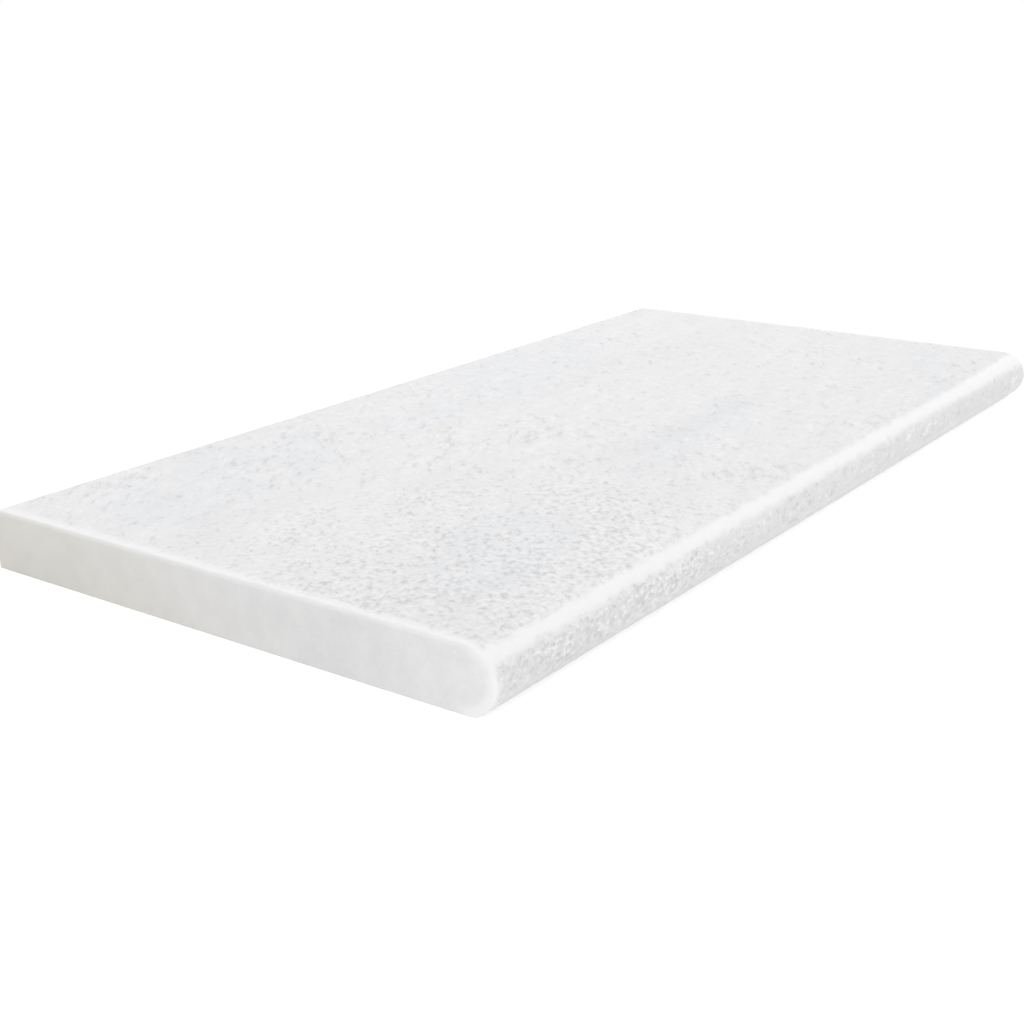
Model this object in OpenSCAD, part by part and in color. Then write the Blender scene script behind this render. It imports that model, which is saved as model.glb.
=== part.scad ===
// Pool coping stone: a sawn marble slab with a full bullnose along one long edge.
// Millimetres. +X runs along the nose, the nose faces -Y and +Z is up.
// The origin is the middle of the underside.

/* [Slab] */
// Length along the pool's edge
stone_length = 600; // [300:5:1200]
// Depth from the front of the nose to the back edge
stone_depth = 300; // [200:5:600]
// Thickness of the slab
stone_thickness = 30; // [20:1:60]

/* [Edges] */
// Radius that blasting wears onto the upper arrises and round the ends of the nose
worn_arris_r = 2.5; // [1:0.25:5]

/* [Hidden] */

$fn = 96;

// A full bullnose takes the whole thickness
nose_r = stone_thickness / 2;
nose_axis_y = nose_r - stone_depth / 2;
back_y = stone_depth / 2;
end_x = stone_length / 2;

// What a square corner loses when it is rounded; towards has the signs that point into the stone
module corner_waste(corner, towards, r) {
    difference() {
        translate(corner) square(2 * r, center = true);
        translate(corner + r * towards) circle(r);
    }
}

// Seen from an end: the slab behind the nose, its upper back arris worn
module slab_section() {
    difference() {
        translate([nose_axis_y, 0]) square([back_y - nose_axis_y, stone_thickness]);
        corner_waste([back_y, stone_thickness], [-1, -1], worn_arris_r);
    }
}

// Seen from the front: both upper arrises worn, the lower ones left sharp by the saw
module end_outline() {
    difference() {
        translate([-end_x, 0]) square([stone_length, stone_thickness]);
        for (side = [-1, 1])
            corner_waste([side * end_x, stone_thickness], [-side, -1], worn_arris_r);
    }
}

module slab() {
    intersection() {
        rotate([90, 0, 90])
            linear_extrude(height = stone_length, center = true) slab_section();
        translate([0, back_y, 0]) rotate([90, 0, 0])
            linear_extrude(height = back_y - nose_axis_y) end_outline();
    }
}

// Half of the section along a round bar, with both of its end corners worn
module worn_bar_section() {
    difference() {
        translate([0, -end_x]) square([nose_r, stone_length]);
        for (side = [-1, 1])
            corner_waste([nose_r, side * end_x], [-1, -side], worn_arris_r);
    }
}

// The full bullnose is half of a turned bar
module nose() {
    translate([0, nose_axis_y, nose_r]) rotate([0, 90, 0])
        rotate_extrude(angle = 180, start = 180) worn_bar_section();
}

module coping_stone() {
    color([0.92, 0.92, 0.91]) {
        slab();
        nose();
    }
}

coping_stone();
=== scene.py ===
# Pool coping stone: a marble slab with a full bullnose, its top and nose blasted and its ends sawn.
# Metres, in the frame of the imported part: +X along the nose, -Y out of it, +Z up.
import math
import bmesh
import bpy
from mathutils import Matrix, Vector, noise


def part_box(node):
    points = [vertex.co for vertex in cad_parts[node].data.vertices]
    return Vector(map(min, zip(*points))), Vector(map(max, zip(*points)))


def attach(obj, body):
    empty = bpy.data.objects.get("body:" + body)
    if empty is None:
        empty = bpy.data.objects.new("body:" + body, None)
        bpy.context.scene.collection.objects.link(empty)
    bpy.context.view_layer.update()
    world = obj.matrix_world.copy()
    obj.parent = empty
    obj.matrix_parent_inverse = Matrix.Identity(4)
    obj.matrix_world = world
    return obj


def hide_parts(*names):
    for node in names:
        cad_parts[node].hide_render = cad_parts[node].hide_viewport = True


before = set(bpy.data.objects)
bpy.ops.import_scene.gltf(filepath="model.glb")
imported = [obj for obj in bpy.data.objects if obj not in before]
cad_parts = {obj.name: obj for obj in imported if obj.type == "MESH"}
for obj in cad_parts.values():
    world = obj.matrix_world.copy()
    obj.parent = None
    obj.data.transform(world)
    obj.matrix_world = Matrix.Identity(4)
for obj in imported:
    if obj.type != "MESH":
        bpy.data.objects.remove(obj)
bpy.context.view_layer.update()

stoneLow, stoneHigh = [Vector(corner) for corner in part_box("coping_stone")]
stoneLength = stoneHigh.x - stoneLow.x
noseRadius = (stoneHigh.z - stoneLow.z) / 2
noseAxisY = stoneLow.y + noseRadius
perMetre = 1000            # mm


def mm(value):
    return value / perMetre


def smoothStep(low, high, value):
    t = min(max((value - low) / (high - low), 0), 1)
    return t * t * (3 - 2 * t)


# Camera

cameraSet = {
    "place": (-0.7221, -0.4652, 0.2633),
    "heading": 36.033,     # degrees from +X towards +Y
    "tiltDown": 18.654,
    "roll": -0.602,
    "lens": 54.225,        # mm, like the sensor's width
    "sensor": 36,
    "clipStart": mm(10),
}


def placeCamera(opts):
    data = bpy.data.cameras.new("camera")
    data.lens = opts["lens"]
    data.sensor_width = opts["sensor"]
    data.clip_start = opts["clipStart"]
    camera = bpy.data.objects.new("camera", data)
    bpy.context.collection.objects.link(camera)
    turn = Matrix.Rotation(math.radians(opts["heading"] - 90), 4, "Z")
    tilt = Matrix.Rotation(math.radians(90 - opts["tiltDown"]), 4, "X")
    roll = Matrix.Rotation(math.radians(opts["roll"]), 4, "Z")
    camera.matrix_world = Matrix.Translation(opts["place"]) @ turn @ tilt @ roll
    bpy.context.scene.camera = camera


placeCamera(cameraSet)
bpy.context.scene.view_settings.view_transform = "Standard"
print("camera placed")


# Stone: its mesh

sameSpot = mm(0.01)            # nearer than this, two places are one
straight = 0.999               # share of an edge's length that runs along an axis if it is parallel to it
facing = 0.9                   # the same for a face that looks along an axis

stone = {
    "stripsAlong": 372,        # about 1.6 mm each
    "stripsAcross": 176,       # on the top, from the nose to the back
    "stripsRound": 16,         # in each quarter of the nose
    "stripsUnder": 4,
    "stripsBack": 4,
    "flat": mm(5),             # edges across the flat faces are longer, those round the nose shorter
    "wornArris": mm(2.5),      # round the top and the nose, as blasting leaves it
    "sawnArris": mm(0.4),      # everywhere else, as the saw leaves it
    "arrisSteps": 5,           # round each end
    "backSteps": (3, 2),       # round the back's worn arris and its sawn one
    "endRoom": mm(4),          # what the arris and its first strip take of each end
    "noseWorn": (-0.95, -0.2), # how far up the nose faces where its arris is still sharp, and fully worn
    "slabWorn": (0, 0.8),      # the same behind the nose
    "arrisWander": 0.35,       # share by which the worn arris grows and shrinks
    "arrisWanderSize": mm(9),
    "blastRoom": (mm(1), mm(6)), # from the ends: where the relief begins, is full
    "wearAndHighlightDown": mm(4),       # how far below the top the worn and painted-highlight bands reach, away from the nose
    "blastedDown": mm(1.5),    # how far the hollows and pits do
    "waveDepth": mm(0.14),     # slow hollows in the blasted faces
    "waveSize": mm(16),
    "pitDepth": mm(0.30),      # the pits that blasting opens
    "pitSize": (mm(7.5), mm(4.2), mm(4.2)), # length and breadth
    "pitTurn": 36,             # degrees
    "smallPits": (2.1, 0.4),   # how much smaller the pits among them are, and their share of the depth
}

# Painted highlight along the nose's shoulder, and bands round the ends: worn arris with painted highlight
wearAndHighlight = {
    "shoulder": 48.5,          # degrees up from the nose's front: the middle of the painted highlight along the nose
    # By mm from the left end: degrees below and above its middle where it starts to fade
    "strip": ((0, 7.2, 5.5), (100, 6.6, 5.0), (300, 5.8, 5.2), (500, 6.6, 7.6), (600, 11.0, 16.0)),
    "shoulderFade": (15, 18),  # degrees over which it fades, below and above
    "shoulderWander": 8,       # degrees by which its rims stray
    "wander": ((mm(7), 0.7), (mm(2.6), 0.3)), # sizes of the lumps in its rims, and their shares
    # The bands round the ends, worn arris with painted highlight, in mm across the outline: - on the outer
    # face, + on the sawn end.
    # Where a band begins, is full, stops being full and is gone
    "atTop": (-8.5, -3.2, -2.2, 1.4),
    "atNose": (-3.7, -0.3, 2.5, 6.5),
    "endWander": mm(1.7),      # by which their rims stray
    "topFrom": (mm(9), mm(45)), # up from the nose's front: where the nose's band turns into the top's
    "most": (0.76, 1.0),       # how strong it gets at the top's ends and at the nose's
    "spared": (5, 45),         # degrees down the nose, which the blast hardly reached
    "sparedPaintedLight": 0.3,          # painted light: how much lighter that side is painted, like the bright bands
    "sparedPits": 0.7,         # share of the pits that it lacks
    "pitsUnderWearAndHighlight": 0.8,         # share of them left out under the painted highlight and the worn bands
}


def edgesAlong(bm, axis, test):
    # Edges parallel to one axis whose middle passes the test
    found = []
    for edge in bm.edges:
        run = edge.verts[1].co - edge.verts[0].co
        if abs(run[axis]) > straight * run.length and test((edge.verts[0].co + edge.verts[1].co) / 2):
            found.append(edge)
    return found


def bevelEdges(bm, edges, offset, segments):
    bmesh.ops.bevel(bm, geom=edges, offset=offset, offset_type="OFFSET", segments=segments,
                    profile=0.5, affect="EDGES", material=-1, clamp_overlap=False)


def near(a, b):
    return abs(a - b) < sameSpot


def sawSlab(bm):
    # A sawn slab whose front edges are turned into the full bullnose
    middle = (stoneLow + stoneHigh) / 2
    size = stoneHigh - stoneLow
    bmesh.ops.create_cube(bm, size=1, matrix=Matrix.Translation(middle) @ Matrix.Diagonal((*size, 1)))
    bevelEdges(bm, edgesAlong(bm, 0, lambda p: near(p.y, stoneLow.y)), noseRadius, stone["stripsRound"])
    bmesh.ops.remove_doubles(bm, verts=bm.verts, dist=sameSpot)
    wornSteps, sawnSteps = stone["backSteps"]
    bevelEdges(bm, edgesAlong(bm, 0, lambda p: near(p.y, stoneHigh.y) and near(p.z, stoneHigh.z)),
               stone["wornArris"], wornSteps)
    bevelEdges(bm, edgesAlong(bm, 0, lambda p: near(p.y, stoneHigh.y) and near(p.z, stoneLow.z)),
               stone["sawnArris"], sawnSteps)
    ends = [face for face in bm.faces if abs(face.normal.x) > facing]
    bmesh.ops.delete(bm, geom=ends, context="FACES_ONLY")
    bmesh.ops.scale(bm, verts=bm.verts, vec=(1 - 2 * stone["endRoom"] / stoneLength, 1, 1))


def gridSlab(bm):
    # Enough strips for the blasted faces; the back and the underside stay coarse
    def cut(axis, strips, test, shortest=0):
        edges = [edge for edge in edgesAlong(bm, axis, test) if edge.calc_length() > shortest]
        bmesh.ops.subdivide_edges(bm, edges=edges, cuts=strips - 1, use_grid_fill=True)
    cut(1, stone["stripsAcross"], lambda p: near(p.z, stoneHigh.z), stone["flat"])
    cut(1, stone["stripsUnder"], lambda p: near(p.z, stoneLow.z), stone["flat"])
    cut(2, stone["stripsBack"], lambda p: near(p.y, stoneHigh.y), stone["flat"])
    cut(0, stone["stripsAlong"], lambda p: True)


def arrisRadius(point, normal):
    where = "noseWorn" if point.y < noseAxisY + sameSpot else "slabWorn"
    worn = smoothStep(*stone[where], normal.z)
    wander = 1 + stone["arrisWander"] * noise.noise(point / stone["arrisWanderSize"])
    return stone["sawnArris"] + (stone["wornArris"] - stone["sawnArris"]) * worn * wander


def roundEnd(bm, side):
    # The open end is drawn in, ring by ring, round the arris, then closed with one sawn face
    endX = side * stoneLength / 2
    bm.normal_update()
    ring = [edge for edge in bm.edges if edge.is_boundary and edge.verts[0].co.x * side > 0]
    sawnSide = []
    start = {}
    for vert in {v for edge in ring for v in edge.verts}:
        flat = Vector((0, vert.normal.y, vert.normal.z)).normalized()
        radius = arrisRadius(vert.co, flat)
        vert.co.x = endX - side * radius
        start[vert] = (vert.co.copy(), flat, radius)
    for step in range(1, stone["arrisSteps"] + 1):
        angle = step / stone["arrisSteps"] * math.pi / 2
        grown = bmesh.ops.extrude_edge_only(bm, edges=ring)["geom"]
        following = {}
        for vert in [item for item in grown if isinstance(item, bmesh.types.BMVert)]:
            source = next(edge.other_vert(vert) for edge in vert.link_edges
                          if edge.other_vert(vert) in start)
            base, flat, radius = start[source]
            vert.co = base - flat * radius * (1 - math.cos(angle))
            vert.co.x = base.x + side * radius * math.sin(angle)
            following[vert] = start[source]
        start = following
        ring = [item for item in grown if isinstance(item, bmesh.types.BMEdge) and item.is_boundary]
        if step > stone["arrisSteps"] / 2: # past half way round it is the sawn end's skin
            sawnSide += [item for item in grown if isinstance(item, bmesh.types.BMFace)]
    return bmesh.ops.edgeloop_fill(bm, edges=ring, mat_nr=1)["faces"], sawnSide


def noseAngle(point):
    # Degrees up from the nose's front; the top counts as straight up
    if point.y > noseAxisY:
        return 90
    return math.degrees(math.atan2(point.z - noseRadius, noseAxisY - point.y))


def between(rows, at):
    # The values at a place, from the rows either side of it
    for low, high in zip(rows, rows[1:]):
        if at <= high[0]:
            break
    t = min(max((at - low[0]) / (high[0] - low[0]), 0), 1)
    return [a + (b - a) * t for a, b in zip(low[1:], high[1:])]


def wearAndHighlightShare(point):
    # 1 where the skin is painted bright (painted highlight along the nose, worn arris with painted
    # highlight at the ends), 0 where it is untouched
    opts = wearAndHighlight
    wander = sum(noise.noise(point / size) * share for size, share in opts["wander"])
    angle = noseAngle(point)
    depth = stoneHigh.z - point.z
    if point.y < noseAxisY:
        depth = noseRadius - math.hypot(point.z - noseRadius, noseAxisY - point.y)
    off = angle - opts["shoulder"] + wander * opts["shoulderWander"]
    half = between(opts["strip"], (point.x - stoneLow.x) * perMetre)[off > 0]
    shoulder = 1 - smoothStep(half, half + opts["shoulderFade"][off > 0], abs(off))
    across = depth - (stoneLength / 2 - abs(point.x)) + wander * opts["endWander"]
    high = smoothStep(*opts["topFrom"], math.radians(angle) * noseRadius + max(0, point.y - noseAxisY))
    begin, full, less, gone = [mm(top * high + nose * (1 - high))
                               for top, nose in zip(opts["atTop"], opts["atNose"])]
    most = opts["most"][0] * high + opts["most"][1] * (1 - high)
    return max(shoulder, most * smoothStep(begin, full, across) * (1 - smoothStep(less, gone, across)))


def blastFaces(bm):
    # Every move is inwards, so the blasted skin never leaves the sawn slab
    wornAndHighlit = bm.verts.layers.float.new("wornAndHighlit")
    unpitted = bm.verts.layers.float.new("unpitted")
    bm.normal_update()
    moves = []
    toPits = Matrix.Diagonal([1 / size for size in stone["pitSize"]])
    toPits = toPits @ Matrix.Rotation(math.radians(-stone["pitTurn"]), 3, "Z")
    smaller, smallShare = stone["smallPits"]
    for vert in bm.verts:
        point = vert.co.copy()
        below = stoneHigh.z - point.z
        nose = point.y < noseAxisY and point.z > sameSpot
        if not nose and below > stone["wearAndHighlightDown"]:
            continue
        room = smoothStep(*stone["blastRoom"], stoneLength / 2 - abs(point.x))
        # Painted light: the nose's lower side is painted lighter
        spared = smoothStep(*wearAndHighlight["spared"], -noseAngle(point))
        # Painted highlight along the nose's shoulder; worn arris with painted highlight round the ends
        vert[wornAndHighlit] = max(wearAndHighlightShare(point), wearAndHighlight["sparedPaintedLight"] * spared)
        vert[unpitted] = max(wearAndHighlight["pitsUnderWearAndHighlight"] * vert[wornAndHighlit], 1 - room,
                             wearAndHighlight["sparedPits"] * spared)
        if nose or below < stone["blastedDown"]:
            wave = max(0, (1 + noise.noise(point / stone["waveSize"])) / 2)
            pit = toPits @ point
            pit = max(0, noise.noise(pit) + smallShare * noise.noise(pit * smaller))
            depth = stone["waveDepth"] * wave + stone["pitDepth"] * pit * (1 - vert[unpitted])
            moves.append((vert, vert.normal * depth * room))
    for vert, move in moves:
        vert.co -= move


def makeStone():
    bm = bmesh.new()
    sawSlab(bm)
    gridSlab(bm)
    ends = [roundEnd(bm, -1), roundEnd(bm, 1)]
    caps = [face for found, _ in ends for face in found]
    sawnSide = {face for _, found in ends for face in found}
    bmesh.ops.recalc_face_normals(bm, faces=bm.faces)
    blastFaces(bm)
    for face in bm.faces:
        middle = face.calc_center_median()
        sawn = face.normal.z < -facing or (face.normal.y > facing and middle.y > 0)
        face.smooth = not sawn
        face.material_index = 1 if sawn or face in sawnSide else 0
    for face in caps:
        face.smooth = False
        face.material_index = 1
    bmesh.ops.triangulate(bm, faces=caps)
    mesh = bpy.data.meshes.new("marble_slab")
    bm.to_mesh(mesh)
    bm.free()
    mesh.calc_loop_triangles()
    print("stone made,", len(mesh.loop_triangles), "triangles")
    piece = bpy.data.objects.new("marble_slab", mesh)
    bpy.context.collection.objects.link(piece)
    return piece


slab = makeStone()


# Materials

noiseSpan = (0.3, 0.7)         # where nearly all of a noise node's values lie
stoneIor = 1.49                # calcite's


def toLinear(hexColour):
    channels = [int(hexColour[i:i + 2], 16) / 255 for i in (1, 3, 5)]
    return (*[c / 12.92 if c <= 0.04045 else ((c + 0.055) / 1.055) ** 2.4 for c in channels], 1)


def addNode(tree, kind, inputs=None, out=0, **settings):
    # One node with its settings and links; an input is given a socket or a plain value
    node = tree.nodes.new("ShaderNode" + kind)
    for name, value in settings.items():
        setattr(node, name, value)
    for name, value in (inputs or {}).items():
        if isinstance(value, bpy.types.NodeSocket):
            tree.links.new(value, node.inputs[name])
        else:
            node.inputs[name].default_value = value
    return node.outputs[out] if node.outputs else node


def newTree(owner):
    owner.use_nodes = True
    owner.node_tree.nodes.clear()
    return owner.node_tree


def patchShare(tree, where, at, half, turn=0, full=0.6, gone=1.2, most=1):
    # How much of a patch is at a point, in mm and degrees. It is full and gone at these shares of its oval
    oval = addNode(tree, "Mapping", {"Vector": where, "Location": [mm(v) for v in at],
                                     "Rotation": (0, 0, math.radians(turn)),
                                     "Scale": [mm(v) for v in half]}, vector_type="TEXTURE")
    far = addNode(tree, "VectorMath", {0: oval}, "Value", operation="LENGTH")
    return addNode(tree, "MapRange", {"Value": far, "From Min": gone, "From Max": full, "To Max": most},
                   interpolation_type="SMOOTHSTEP")


marble = {
    "white": "#ebebeb",
    "violetGrey": "#e6e6ed",   # the thin parts of a cloud
    "blueGrey": "#e6e8ec",     # its dense parts
    "dense": (0.25, 0.6),      # how cloudy it is where it turns dense, and is all dense
    "cloudGone": 1.12,         # how far out a cloud ends, as a share of its oval
    "darkPatchFull": 0.2,        # how far out a darker patch stays at its darkest, in the same way
    "bed": (mm(40), mm(14), mm(14)), # length and breadth of the bed's streaks
    "bedTurn": 18,             # degrees
    "bedOctaves": (5, 0.6),    # finer streaks among them, and how strong each is beside the last
    "bedSpan": (0.35, 0.65),   # the noise in the palest and the darkest streaks
    "bedShade": 0.014,         # how much darker and paler the streaks run
    "drawn": (2.0, 1, 1),      # crystals, clouds and pits are longer one way
    "drawnTurn": 36,           # degrees
    "rags": mm(11),            # size of the rags that the clouds are torn into
    "ragSpan": (0.38, 0.52),   # the noise where a rag is open, and where it is whole
    "warm": "#ecebe4",         # the warm flecks
    "fleck": mm(9),            # from one fleck to the next
    "fleckSpan": (0.72, 0.80), # the noise where a fleck begins, and where it is full
    "fleckMost": 0.8,
    "crystal": mm(2.0),        # across one calcite crystal, as coarse as it needs to show
    "crystalShade": 0.014,
}
# The grey clouds and the darker patches, in mm and degrees
clouds = [
    {"at": (-195, 97, 15), "half": (105, 52, 60), "turn": 12, "most": 0.64},
    {"at": (-50, 85, 15), "half": (60, 22, 60), "turn": 5, "most": 0.44},
    {"at": (75, 103, 15), "half": (125, 42, 60), "turn": 8, "most": 0.58},
    {"at": (-205, -82, 15), "half": (66, 36, 60), "turn": 18, "most": 0.64},
    {"at": (18, -58, 15), "half": (118, 26, 60), "turn": 5, "most": 0.58},
    {"at": (225, -112, 15), "half": (95, 18, 60), "turn": 21, "most": 0.64},
    {"at": (280, 103, 15), "half": (30, 14, 60), "turn": 25, "most": 0.48},
]
darkPatches = [
    {"at": (-262, -80, 15), "half": (120, 85, 60), "turn": 0, "most": 0.026},
    {"at": (-272, -112, 15), "half": (50, 45, 60), "turn": 0, "most": 0.016},
    {"at": (12, -52, 15), "half": (112, 12, 60), "turn": 0, "most": 0.036},
    {"at": (90, 63, 15), "half": (100, 9, 60), "turn": 9, "most": 0.020},
    {"at": (212, 42, 15), "half": (16, 30, 60), "turn": -20, "most": 0.026},
    {"at": (-272, 38, 15), "half": (32, 24, 60), "turn": 0, "most": 0.026},
    {"at": (-243, 92, 15), "half": (38, 10, 60), "turn": 30, "most": 0.024},
    {"at": (-72, -72, 15), "half": (105, 70, 60), "turn": 0, "most": 0.012},
    {"at": (-128, -8, 15), "half": (50, 36, 60), "turn": 0, "most": 0.018},
    {"at": (-172, 74, 15), "half": (70, 22, 60), "turn": 0, "most": 0.010},
    {"at": (-236, 46, 15), "half": (46, 26, 60), "turn": 0, "most": 0.014},
    {"at": (170, 50, 15), "half": (150, 42, 60), "turn": 0, "most": 0.014},
]


def marbleBody(tree):
    # White calcite with faint grey clouds and darker patches in it, the same on every face
    where = addNode(tree, "TexCoord", out="Object")
    bed = addNode(tree, "Mapping", {"Vector": where, "Rotation": (0, 0, math.radians(marble["bedTurn"])),
                                    "Scale": marble["bed"]}, vector_type="TEXTURE")
    drawn = addNode(tree, "Mapping", {"Vector": where, "Scale": marble["drawn"],
                                      "Rotation": (0, 0, math.radians(marble["drawnTurn"]))},
                    vector_type="TEXTURE")
    cloudy = 0
    for cloud in clouds:
        share = patchShare(tree, where, gone=marble["cloudGone"], **cloud)
        cloudy = addNode(tree, "Math", {0: cloudy, 1: share}, operation="MAXIMUM")
    rags = addNode(tree, "TexNoise", {"Vector": drawn, "Scale": 1 / marble["rags"], "Detail": 4})
    rags = addNode(tree, "MapRange", {"Value": rags, "From Min": marble["ragSpan"][0],
                                      "From Max": marble["ragSpan"][1]}, interpolation_type="SMOOTHSTEP")
    cloudy = addNode(tree, "Math", {0: cloudy, 1: rags}, operation="MULTIPLY")
    tint = addNode(tree, "MapRange", {"Value": cloudy, "From Min": marble["dense"][0],
                                      "From Max": marble["dense"][1]}, interpolation_type="SMOOTHSTEP")
    tint = addNode(tree, "Mix", {"Factor": tint, 6: toLinear(marble["violetGrey"]),
                                 7: toLinear(marble["blueGrey"])}, 2, data_type="RGBA")
    colour = addNode(tree, "Mix", {"Factor": cloudy, 6: toLinear(marble["white"]), 7: tint}, 2,
                     data_type="RGBA")
    flecks = addNode(tree, "TexNoise", {"Vector": where, "Scale": 1 / marble["fleck"]})
    flecks = addNode(tree, "MapRange", {"Value": flecks, "From Min": marble["fleckSpan"][0],
                                        "From Max": marble["fleckSpan"][1],
                                        "To Max": marble["fleckMost"]}, interpolation_type="SMOOTHSTEP")
    colour = addNode(tree, "Mix", {"Factor": flecks, 6: colour, 7: toLinear(marble["warm"])}, 2,
                     data_type="RGBA")
    crystals = addNode(tree, "TexNoise", {"Vector": drawn, "Scale": 1 / marble["crystal"]})
    octaves, octaveShare = marble["bedOctaves"]
    streaks = addNode(tree, "TexNoise", {"Vector": bed, "Scale": 1, "Detail": octaves,
                                         "Roughness": octaveShare})
    shades = [(crystals, *noiseSpan, marble["crystalShade"]),
              (streaks, *marble["bedSpan"], marble["bedShade"])]
    for pattern, low, high, shade in shades:
        factor = addNode(tree, "MapRange", {"Value": pattern, "From Min": low, "From Max": high,
                                            "To Min": 1 + shade, "To Max": 1 - shade},
                         interpolation_type="SMOOTHSTEP")
        colour = addNode(tree, "VectorMath", {0: colour, "Scale": factor}, operation="SCALE")
    for darkPatch in darkPatches:
        share = patchShare(tree, where, full=marble["darkPatchFull"], **darkPatch)
        factor = addNode(tree, "Math", {0: 1, 1: share}, operation="SUBTRACT")
        colour = addNode(tree, "VectorMath", {0: colour, "Scale": factor}, operation="SCALE")
    return where, colour


blasted = {
    "pitEdge": (0.20, 0.47),   # the noise at a pit's bottom and at its rim
    "pitSpread": 0.03,         # how far the pits crowd and thin out
    "spreadSize": mm(38),
    "crowds": [                # where they do so over a wider stretch
        {"at": (-235, -105, 15), "half": (260, 120, 200), "most": 0.035},
        {"at": (-115, 0, 15), "half": (120, 110, 200), "most": 0.016},
        {"at": (280, 60, 15), "half": (380, 300, 200), "most": -0.03},
    ],
    "crowdEdge": {"full": 0.2, "gone": 1.3},
    "pitOctaveShare": 0.6,     # how strong each finer set of pits is beside the last
    "fill": (0.2, 0.7),        # what the noise gains where a family is absent, and the share that ends it
    "paintedReliefSlope": 0.25,          # how far the noise falls past a lip where its painted highlight is palest
    # painted shade: the front of the nose darker
    "left": {"at": (-300, -150, 15), "half": (280, 250, 200), "full": 0.4, "gone": 1.2},
    "noseFront": {"at": (0, -152, 17.5), "half": (10000, 5.5, 11), "full": 0.5, "gone": 1.0},
    "noseFrontPaintedShade": 0.98,         # finer pits there, too small to draw
    "glintEdge": (0.58, 0.68), # the noise where a painted glint begins, and where it is full
    "wearAndHighlightColour": ("#f8f8f8", "#fefefe"), # worn arris and painted highlight: at the left end and the right
    "roughness": 0.75,
    "bump": mm(0.3),
}
# Fine round pits to the left, longer and shallower ones over the rest
pitFamilies = [
    {
        "pit": (mm(4.6), mm(2.8), mm(1.9)), # length and breadth, and height on the nose
        "fineness": 3,         # finer pits within them, in octaves
        "there": (0, 1),       # their share away from the left, and on it
        "pitBottomShade": (0.82, 0.86), # brightness at a pit's bottom, on the top and the nose: painted shade in the pits
        "paintedReliefSlant": (-0.28, 0, 0), # offset along which the painted highlight and shade are drawn, lip to bottom, with the pit's size as the unit
        "paintedReliefLight": 0.07,           # painted highlight on the lip and painted shade on the wall across from it: how much paler and darker
        "glint": (1.045, 1.14), # brightness of a painted glint, on the top and the nose
    },
    {
        "pit": (mm(11), mm(4.2), mm(3.6)),
        "fineness": 2.5,
        "there": (1, 0),
        "pitBottomShade": (0.83, 0.80),
        "paintedReliefSlant": (-0.16, 0, 0),
        "paintedReliefLight": 0.06,
        "glint": (1.045, 1.15),
    },
]


def pitFamily(tree, where, opts, left, front, spread, whole):
    # Where one family of pits is down, from 0 at a bottom to 1, and the painted shade and highlight it puts
    # on each place
    grain = addNode(tree, "Mapping", {"Vector": where, "Scale": opts["pit"],
                                      "Rotation": (0, 0, math.radians(marble["drawnTurn"]))},
                    vector_type="TEXTURE")
    aside = addNode(tree, "VectorMath", {0: grain, 1: opts["paintedReliefSlant"]}, operation="ADD")
    pits, rims = [addNode(tree, "TexNoise", {"Vector": place, "Scale": 1, "Detail": opts["fineness"],
                                             "Roughness": blasted["pitOctaveShare"]})
                  for place in (grain, aside)]
    there = addNode(tree, "MapRange", {"Value": left, "To Min": opts["there"][0],
                                       "To Max": opts["there"][1]})
    shadedPitBottom, brightestGlint = [addNode(tree, "MapRange", {"Value": front, "To Min": top, "To Max": nose})
                         for top, nose in (opts["pitBottomShade"], opts["glint"])]
    brightestGlint = addNode(tree, "MapRange", {"Value": there, "To Min": 1, "To Max": brightestGlint})
    filled = addNode(tree, "MapRange", {"Value": there, "From Max": blasted["fill"][1],
                                        "To Min": blasted["fill"][0], "To Max": 0})
    level = pits
    for raised in (spread, filled):
        level = addNode(tree, "Math", {0: level, 1: raised}, operation="ADD")
    level = addNode(tree, "MapRange", {"Value": level, "From Min": blasted["pitEdge"][0],
                                       "From Max": blasted["pitEdge"][1]}, interpolation_type="SMOOTHSTEP")
    closed = addNode(tree, "Math", {0: 1, 1: whole}, operation="SUBTRACT")
    level = addNode(tree, "Math", {0: level, 1: closed}, operation="MAXIMUM")
    # Painted highlight on one side of each pit and painted shade on the other
    slope = addNode(tree, "Math", {0: pits, 1: rims}, operation="SUBTRACT")
    paintedReliefLight = addNode(tree, "MapRange", {"Value": slope, "From Min": -blasted["paintedReliefSlope"],
                                     "From Max": blasted["paintedReliefSlope"],
                                     "To Min": -opts["paintedReliefLight"], "To Max": opts["paintedReliefLight"]})
    for share in (whole, there):
        paintedReliefLight = addNode(tree, "Math", {0: paintedReliefLight, 1: share}, operation="MULTIPLY")
    # Painted shade: pit bottoms darkened
    pitPaintedShade = addNode(tree, "MapRange", {"Value": level, "To Min": shadedPitBottom})
    pitPaintedShade = addNode(tree, "Math", {0: pitPaintedShade, 1: paintedReliefLight}, operation="ADD")
    # Painted highlight: glints beside the pits
    glintNoise = addNode(tree, "Math", {0: pits, 1: spread}, operation="SUBTRACT")
    glint = addNode(tree, "MapRange", {"Value": glintNoise, "From Min": blasted["glintEdge"][0],
                                       "From Max": blasted["glintEdge"][1],
                                       "To Min": 1, "To Max": brightestGlint}, interpolation_type="SMOOTHSTEP")
    return level, addNode(tree, "Math", {0: pitPaintedShade, 1: glint}, operation="MULTIPLY")


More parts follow.
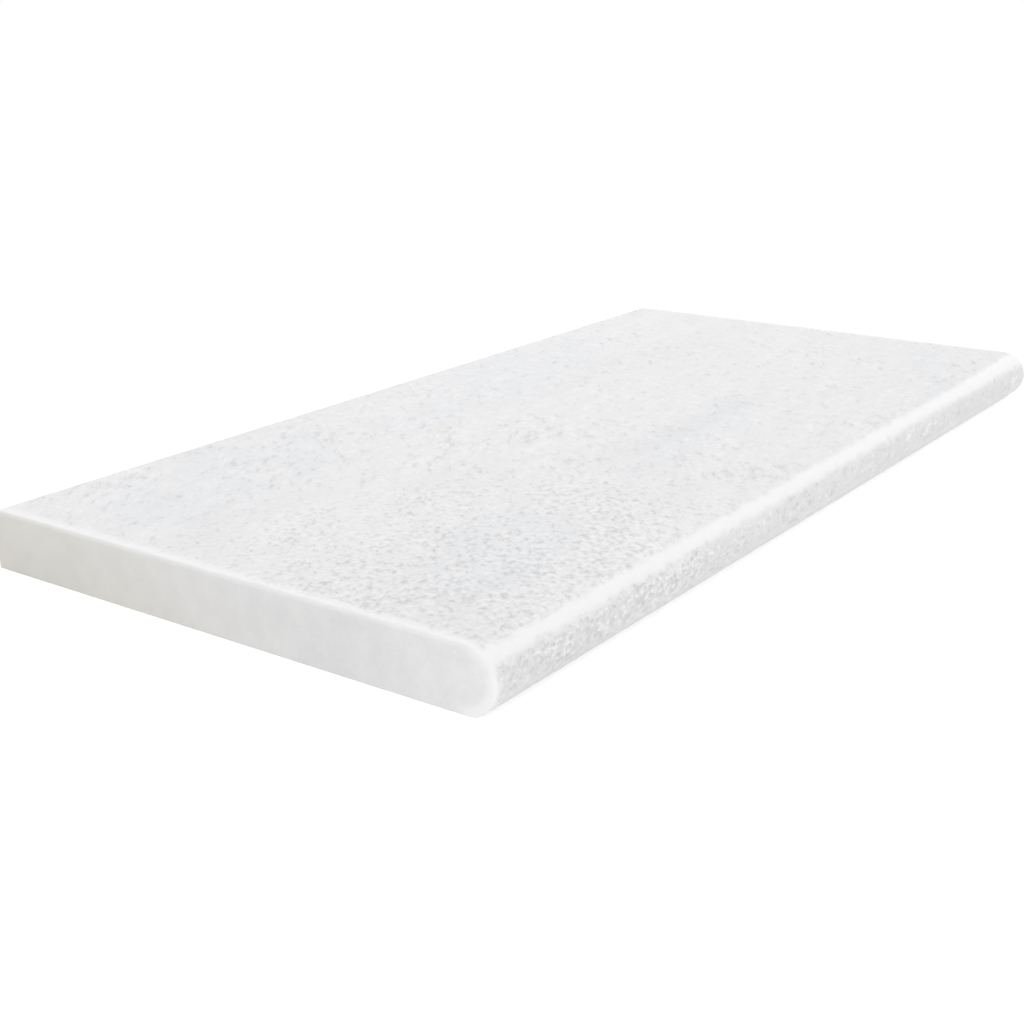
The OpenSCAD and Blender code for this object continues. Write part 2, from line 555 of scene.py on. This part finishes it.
def blastedMarble():
    # Sandblasted white marble: sugary and matt, small pits with painted shade and glints, edges worn and
    # painted bright
    material = bpy.data.materials.new("sandblasted_white_marble")
    tree = newTree(material)
    where, colour = marbleBody(tree)
    wornAndHighlit = addNode(tree, "Attribute", out="Fac", attribute_name="wornAndHighlit")
    unpitted = addNode(tree, "Attribute", out="Fac", attribute_name="unpitted")
    whole = addNode(tree, "Math", {0: 1, 1: unpitted}, operation="SUBTRACT")
    left, front = [patchShare(tree, where, **blasted[name]) for name in ("left", "noseFront")]
    spread = addNode(tree, "TexNoise", {"Vector": where, "Scale": 1 / blasted["spreadSize"]})
    spread = addNode(tree, "MapRange", {"Value": spread, "From Min": noiseSpan[0], "From Max": noiseSpan[1],
                                        "To Min": -blasted["pitSpread"], "To Max": blasted["pitSpread"]},
                     interpolation_type="SMOOTHSTEP")
    for crowd in blasted["crowds"]:
        share = patchShare(tree, where, **blasted["crowdEdge"], **crowd)
        spread = addNode(tree, "Math", {0: spread, 1: share}, operation="SUBTRACT")
    level = 1
    # Painted shade: the front of the nose is darkened
    shades = [addNode(tree, "MapRange", {"Value": front, "To Min": 1, "To Max": blasted["noseFrontPaintedShade"]})]
    for opts in pitFamilies:
        down, shade = pitFamily(tree, where, opts, left, front, spread, whole)
        level = addNode(tree, "Math", {0: level, 1: down}, operation="MINIMUM")
        shades.append(shade)
    for shade in shades:
        colour = addNode(tree, "VectorMath", {0: colour, "Scale": shade}, operation="SCALE")
    # Painted highlight: the shoulder strip and the end bands are mixed towards near white, the bands partly
    # worn arris
    along = addNode(tree, "SeparateXYZ", {0: where}, "X")
    along = addNode(tree, "MapRange", {"Value": along, "From Min": stoneLow.x, "From Max": stoneHigh.x})
    bright = addNode(tree, "Mix", {"Factor": along, 6: toLinear(blasted["wearAndHighlightColour"][0]),
                                   7: toLinear(blasted["wearAndHighlightColour"][1])}, 2, data_type="RGBA")
    colour = addNode(tree, "Mix", {"Factor": wornAndHighlit, 6: colour, 7: bright}, 2, data_type="RGBA")
    relief = addNode(tree, "Bump", {"Height": level, "Distance": blasted["bump"], "Strength": 1})
    shader = addNode(tree, "BsdfPrincipled", {"Base Color": colour, "Roughness": blasted["roughness"],
                                              "IOR": stoneIor, "Normal": relief})
    addNode(tree, "OutputMaterial", {"Surface": shader})
    return material


sawn = {
    "backToneLight": "#dad9d8",     # greyer and warmer towards the back and the bottom
    "backToneDeep": "#d6d3cb",
    "deepTone": (0.25, 0.6),      # how much of that tone there is where it turns deep, and is all deep
    "backToneAt": {"at": (0, 237, -2), "half": (2000, 341, 81)}, # mm, deepest low at the back
    "backToneFade": (1.105, 0.17), # how far from the middle of that oval it is gone, and full
    "mottle": mm(11),          # size of the paler and darker places
    "mottleShade": 0.02,
    # Painted light: the sawn end brighter towards the nose
    "paintedLightAtNose": {"at": (0, -165, 5), "half": (10000, 97, 52), "full": 0.2, "gone": 1, "most": 0.07},
    "rims": ((8.5, 13, 0.8), (13, 14.3, 1)), # worn arris with painted highlight, by mm from the nose's axis: begins, is full, how much
    "alongNose": 10,           # metres, so long a unit that a place along the axis counts for nothing
    "rimFront": (8, -6),       # mm from the axis, back to front, over which they come in
    "rimUp": (17, 23, 0.55),   # mm up, over which they lose this share
    "topRim": (27.8, 29.4, 0.25), # mm up, the same along the top
    "rimColour": "#fefefe",
    "roughness": 0.6,
}


def sawnMarble():
    # Sawn white marble: flat and close, its crystals cut through, greyer and warmer towards the back and
    # the bottom
    material = bpy.data.materials.new("sawn_white_marble")
    tree = newTree(material)
    where, colour = marbleBody(tree)
    oval = addNode(tree, "Mapping", {"Vector": where, "Location": [mm(v) for v in sawn["backToneAt"]["at"]],
                                     "Scale": [mm(v) for v in sawn["backToneAt"]["half"]]},
                   vector_type="TEXTURE")
    # Greyer and warmer towards the back and the bottom of the end
    backTone = addNode(tree, "VectorMath", {0: oval}, "Value", operation="LENGTH")
    backTone = addNode(tree, "MapRange", {"Value": backTone, "From Min": sawn["backToneFade"][0],
                                      "From Max": sawn["backToneFade"][1]})
    backToneColour = addNode(tree, "MapRange", {"Value": backTone, "From Min": sawn["deepTone"][0],
                                        "From Max": sawn["deepTone"][1]}, interpolation_type="SMOOTHSTEP")
    backToneColour = addNode(tree, "Mix", {"Factor": backToneColour, 6: toLinear(sawn["backToneLight"]),
                                   7: toLinear(sawn["backToneDeep"])}, 2, data_type="RGBA")
    colour = addNode(tree, "Mix", {"Factor": backTone, 6: colour, 7: backToneColour}, 2, data_type="RGBA")
    mottle = addNode(tree, "TexNoise", {"Vector": where, "Scale": 1 / sawn["mottle"], "Detail": 4})
    mottle = addNode(tree, "MapRange", {"Value": mottle, "From Min": noiseSpan[0], "From Max": noiseSpan[1],
                                        "To Min": 1 - sawn["mottleShade"],
                                        "To Max": 1 + sawn["mottleShade"]}, interpolation_type="SMOOTHSTEP")
    # Painted light: the sawn end is brightened towards the nose
    paintedLightAtNose = addNode(tree, "Math", {0: 1, 1: patchShare(tree, where, **sawn["paintedLightAtNose"])}, operation="ADD")
    for factor in (mottle, paintedLightAtNose):
        colour = addNode(tree, "VectorMath", {0: colour, "Scale": factor}, operation="SCALE")
    nose = addNode(tree, "Mapping", {"Vector": where, "Location": (0, noseAxisY, noseRadius),
                                     "Scale": (sawn["alongNose"], mm(1), mm(1))}, vector_type="TEXTURE")
    out = addNode(tree, "VectorMath", {0: nose}, "Value", operation="LENGTH")
    forward = addNode(tree, "SeparateXYZ", {0: nose}, "Y")
    up = addNode(tree, "SeparateXYZ", {0: where}, "Z")
    up = addNode(tree, "Math", {0: up, 1: perMetre}, operation="MULTIPLY")
    bands = [(out, *band) for band in sawn["rims"]]
    bands += [(forward, *sawn["rimFront"], 1), (up, *sawn["rimUp"]), (up, *sawn["topRim"])]
    wide, narrow, front, lost, topRim = [
        addNode(tree, "MapRange", {"Value": value, "From Min": low, "From Max": high, "To Max": most},
                interpolation_type="SMOOTHSTEP")
        for value, low, high, most in bands]
    rim = addNode(tree, "Math", {0: wide, 1: narrow}, operation="MAXIMUM")
    kept = addNode(tree, "Math", {0: 1, 1: lost}, operation="SUBTRACT")
    for share in (front, kept):
        rim = addNode(tree, "Math", {0: rim, 1: share}, operation="MULTIPLY")
    rim = addNode(tree, "Math", {0: rim, 1: topRim}, operation="MAXIMUM")
    # Worn arris with painted highlight: bright rims round the nose's end and along the top
    colour = addNode(tree, "Mix", {"Factor": rim, 6: colour, 7: toLinear(sawn["rimColour"])}, 2,
                     data_type="RGBA")
    shader = addNode(tree, "BsdfPrincipled", {"Base Color": colour, "Roughness": sawn["roughness"],
                                              "IOR": stoneIor})
    addNode(tree, "OutputMaterial", {"Surface": shader})
    return material


slab.data.materials.append(blastedMarble())
slab.data.materials.append(sawnMarble())
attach(slab, "root")
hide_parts("coping_stone")
print("materials made")


# Floor and light

studio = {
    "floor": "#f8f8f8",
    "floorSize": 14,           # metres
    "floorGlow": 0.49,         # what the camera sees on top of the floor's own light, so that it is white
    "sky": 0.76,               # its strength as a light
    "backdrop": "#ffffff",
}
# Metres and watts
softboxes = {
    "key_softbox": {"place": (-1.6, -0.6, 3.5), "aim": (0, 0, 0), "size": 1.5, "power": 26},
    "front_softbox": {"place": (-0.2, -3.4, 0.4), "aim": (0, 0, 0), "size": 1.2, "power": 7},
    "back_softbox": {"place": (1.0, 0.8, 1.1), "aim": (0.2, 0.05, 0), "size": 0.6, "power": 3.4},
}


def seenShare(tree):
    # 1 for rays that show the backdrop itself: straight, mirrored or through glass
    rays = addNode(tree, "LightPath").node.outputs
    seen = addNode(tree, "Math", {0: rays["Is Camera Ray"], 1: rays["Is Glossy Ray"]}, operation="MAXIMUM")
    return addNode(tree, "Math", {0: seen, 1: rays["Is Transmission Ray"]}, operation="MAXIMUM")


def layFloor():
    bm = bmesh.new()
    bmesh.ops.create_grid(bm, x_segments=1, y_segments=1, size=studio["floorSize"] / 2)
    mesh = bpy.data.meshes.new("floor")
    bm.to_mesh(mesh)
    bm.free()
    floor = bpy.data.objects.new("floor", mesh)
    bpy.context.collection.objects.link(floor)
    material = bpy.data.materials.new("white_floor")
    tree = newTree(material)
    paint = addNode(tree, "BsdfDiffuse", {"Color": toLinear(studio["floor"])})
    lift = addNode(tree, "Math", {0: seenShare(tree), 1: studio["floorGlow"]}, operation="MULTIPLY")
    glow = addNode(tree, "Emission", {"Strength": lift})
    both = addNode(tree, "AddShader", {0: paint, 1: glow})
    addNode(tree, "OutputMaterial", {"Surface": both})
    mesh.materials.append(material)


def lightSky():
    world = bpy.data.worlds.new("sky")
    bpy.context.scene.world = world
    tree = newTree(world)
    colour = toLinear(studio["backdrop"])
    light = addNode(tree, "Background", {"Color": colour, "Strength": studio["sky"]})
    white = addNode(tree, "Background", {"Color": colour, "Strength": 1})
    both = addNode(tree, "MixShader", {0: seenShare(tree), 1: light, 2: white})
    addNode(tree, "OutputWorld", {"Surface": both})


def hangSoftboxes():
    for name, opts in softboxes.items():
        data = bpy.data.lights.new(name, "AREA")
        data.shape = "DISK"
        data.size = opts["size"]
        data.energy = opts["power"]
        lamp = bpy.data.objects.new(name, data)
        bpy.context.collection.objects.link(lamp)
        lamp.location = opts["place"]
        lamp.visible_camera = False
        look = Vector(opts["aim"]) - Vector(opts["place"])
        lamp.rotation_euler = look.to_track_quat("-Z", "Y").to_euler()


layFloor()
lightSky()
hangSoftboxes()
print("floor and lights set")
